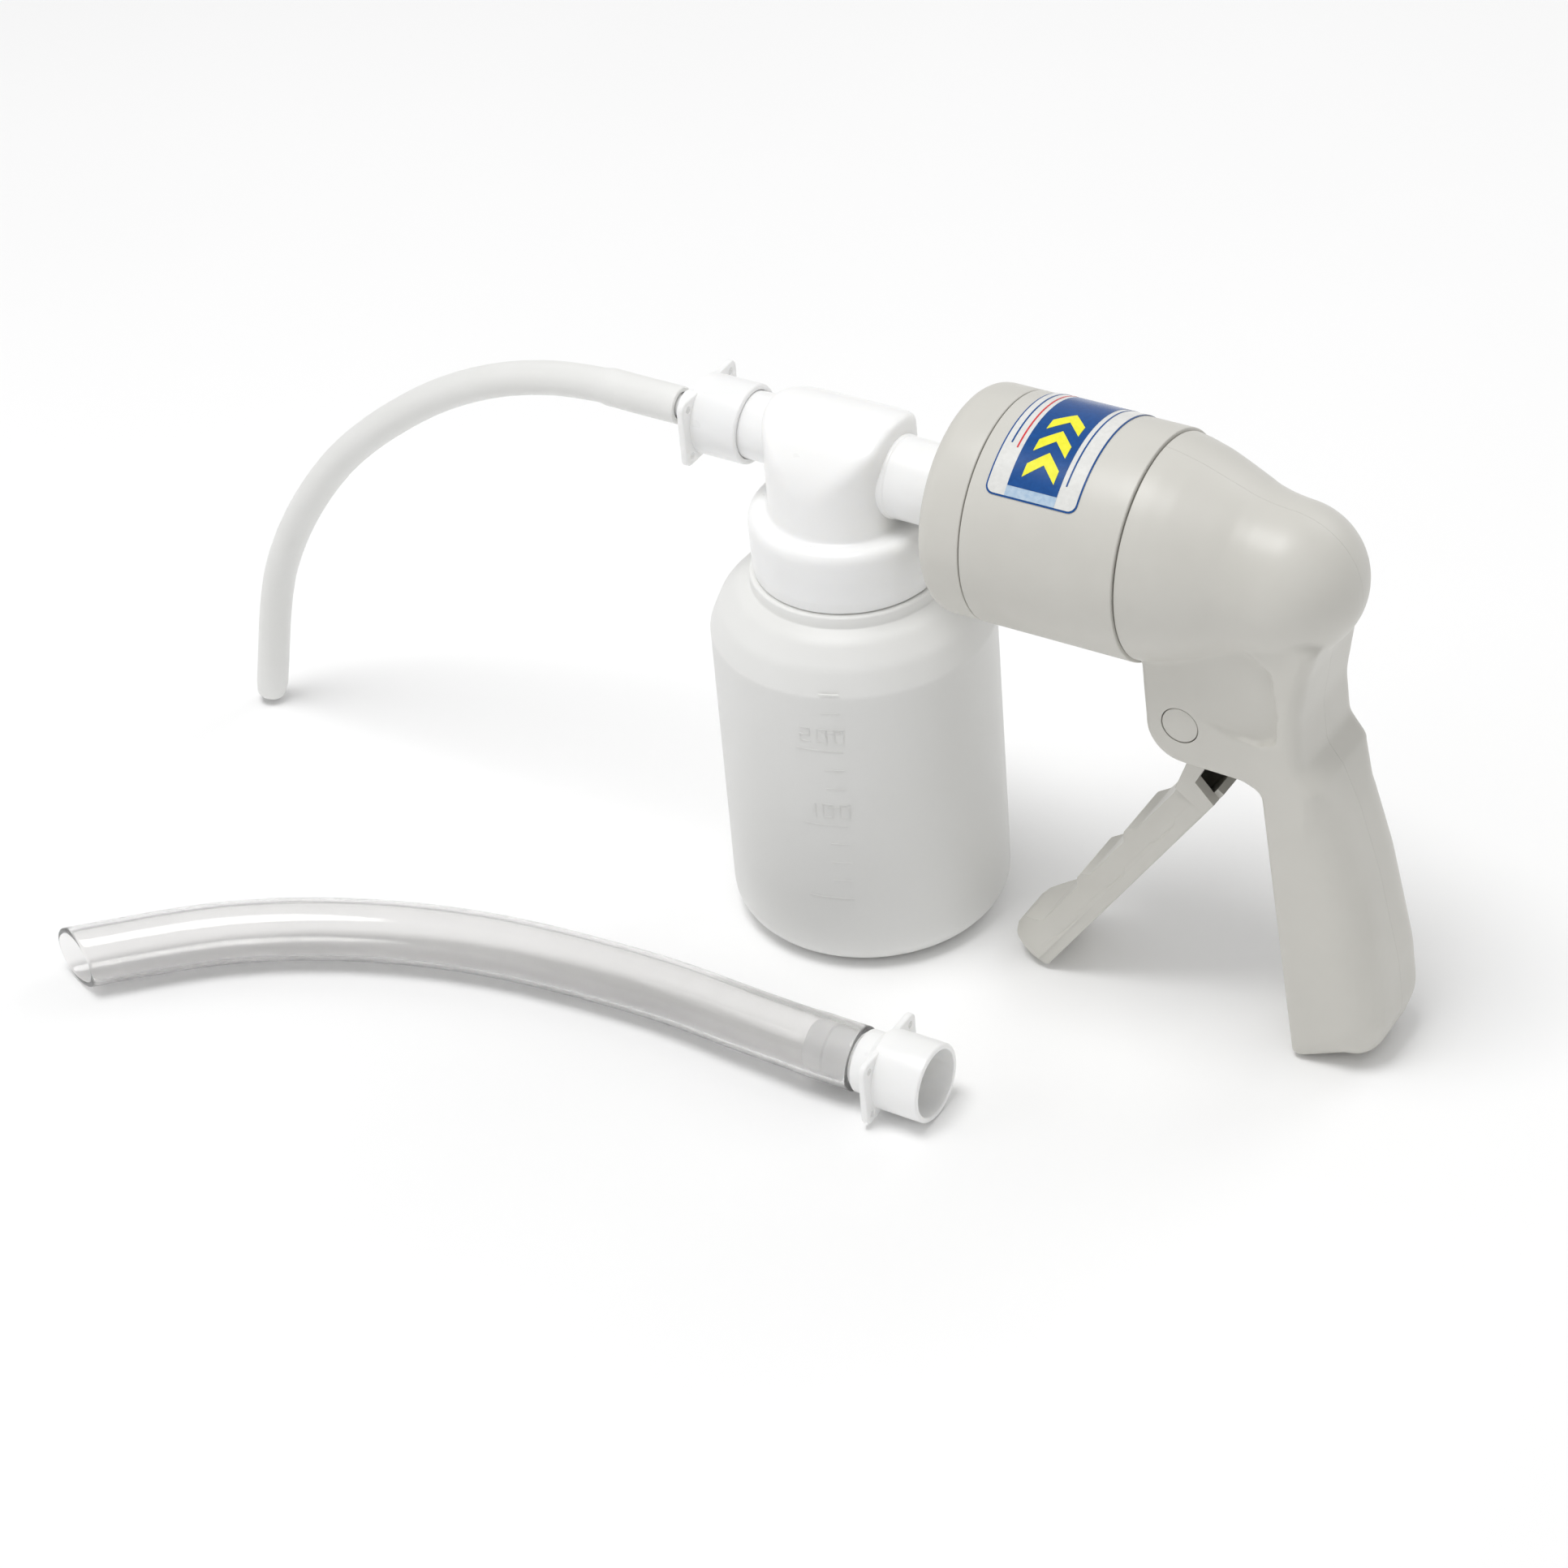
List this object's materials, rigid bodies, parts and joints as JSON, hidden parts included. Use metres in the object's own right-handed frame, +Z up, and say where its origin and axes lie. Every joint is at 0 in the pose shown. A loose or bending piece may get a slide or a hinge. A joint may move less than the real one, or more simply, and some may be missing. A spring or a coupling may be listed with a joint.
{
  "type": "manual suction pump",
  "caption": "Hand-squeezed medical suction pump: trigger pistol grip, piston barrel, tee lid with screw-on canister bottle, patient connector with catheter and a loose wide catheter.",
  "frame": {"origin": "centre of the canister bottle's base, on the surface the pump stands on", "axes": "+X along the pump barrel from the canister towards the grip, +Z up, -Y towards the side that carries the label"},
  "size_m": [0.3475, 0.1664, 0.1599],
  "materials": {
    "casing": "fine satin warm light grey ABS",
    "white_plastic": "glossy white polypropylene",
    "milky_bottle": "milky translucent polyethylene",
    "milky_tube": "frosted translucent catheter vinyl",
    "clear_tube": "clear glossy vinyl",
    "silicone": "natural silicone",
    "black_rubber": "black nitrile",
    "steel": "bright stainless steel",
    "acetal": "natural acetal",
    "label_film": "glossy printed vinyl film"
  },
  "bodies": {
    "canister_head": {"canister_lid": "white_plastic", "inlet_spout": "white_plastic"},
    "gasket": {"lid_gasket": "silicone"},
    "bottle": {"bottle": "milky_bottle"},
    "pump": {"front_cap": "casing", "port_seal_ring": "black_rubber", "inlet_valve_retainer": "acetal", "barrel_o_ring": "black_rubber", "barrel": "casing", "label": "label_film", "return_spring": "steel", "pivot_pin": "steel", "pivot_cap_near": "casing", "pivot_cap_far": "casing", "housing_near": "casing", "housing_far": "casing", "housing_screw_1": "steel", "housing_screw_2": "steel", "housing_screw_3": "steel", "housing_screw_4": "steel"},
    "inlet_valve": {"inlet_valve_disc": "silicone"},
    "piston": {"piston": "acetal", "piston_seal": "black_rubber", "piston_rod": "steel", "exhaust_valve_stop": "steel", "drive_pin": "steel"},
    "exhaust_valve": {"exhaust_valve_disc": "silicone"},
    "trigger": {"trigger": "casing", "trigger_bush_near": "acetal", "trigger_bush_far": "acetal"},
    "patient_end": {"patient_connector": "white_plastic", "small_catheter": "milky_tube"},
    "spare_catheter": {"large_connector": "white_plastic", "large_catheter": "clear_tube"}
  },
  "joints": [
    {"name": "pump_swivel", "type": "hinge", "parent": "canister_head", "child": "pump", "pos_m": [0.042, 0, 0.131], "axis": [1, 0, 0], "range_deg": [-12, 90]},
    {"name": "trigger_squeeze", "type": "hinge", "parent": "pump", "child": "trigger", "pos_m": [0.0992, 0, 0.092], "axis": [0, -1, 0], "range_deg": [0, 36], "stiffness_Nm_per_rad": 1.5, "springref_deg": -5.73},
    {"name": "piston_stroke", "type": "slide", "parent": "pump", "child": "piston", "axis": [-1, 0, 0], "range_m": [0, 0.0254], "deforming": ["return_spring"]},
    {"name": "inlet_valve_lift", "type": "slide", "parent": "pump", "child": "inlet_valve", "axis": [1, 0, 0], "range_m": [0, 0.0012], "stiffness_N_per_m": 30},
    {"name": "exhaust_valve_lift", "type": "slide", "parent": "piston", "child": "exhaust_valve", "axis": [1, 0, 0], "range_m": [0, 0.0012], "stiffness_N_per_m": 30},
    {"name": "catheter_swivel", "type": "hinge", "parent": "canister_head", "child": "patient_end", "pos_m": [-0.03, 0, 0.1351], "axis": [1, 0, 0], "range_deg": [-90, 90]},
    {"name": "bottle_drop", "type": "slide", "parent": "canister_head", "child": "gasket", "axis": [0, 0, -1], "range_m": [0, 0.006]},
    {"name": "bottle_unscrew", "type": "hinge", "parent": "gasket", "child": "bottle", "pos_m": [0, 0, 0.114], "axis": [0, 0, -1], "range_deg": [0, 450]},
    {"name": "spare_catheter_lift", "type": "slide", "parent": "canister_head", "child": "spare_catheter", "axis": [0, 0, 1], "range_m": [0, 0.06]}
  ],
  "couplings": [
    {"joint": "piston_stroke", "follows": "trigger_squeeze", "m_per_rad": 0.040356},
    {"joint": "bottle_drop", "follows": "bottle_unscrew", "m_per_rad": 0.00066845}
  ]
}
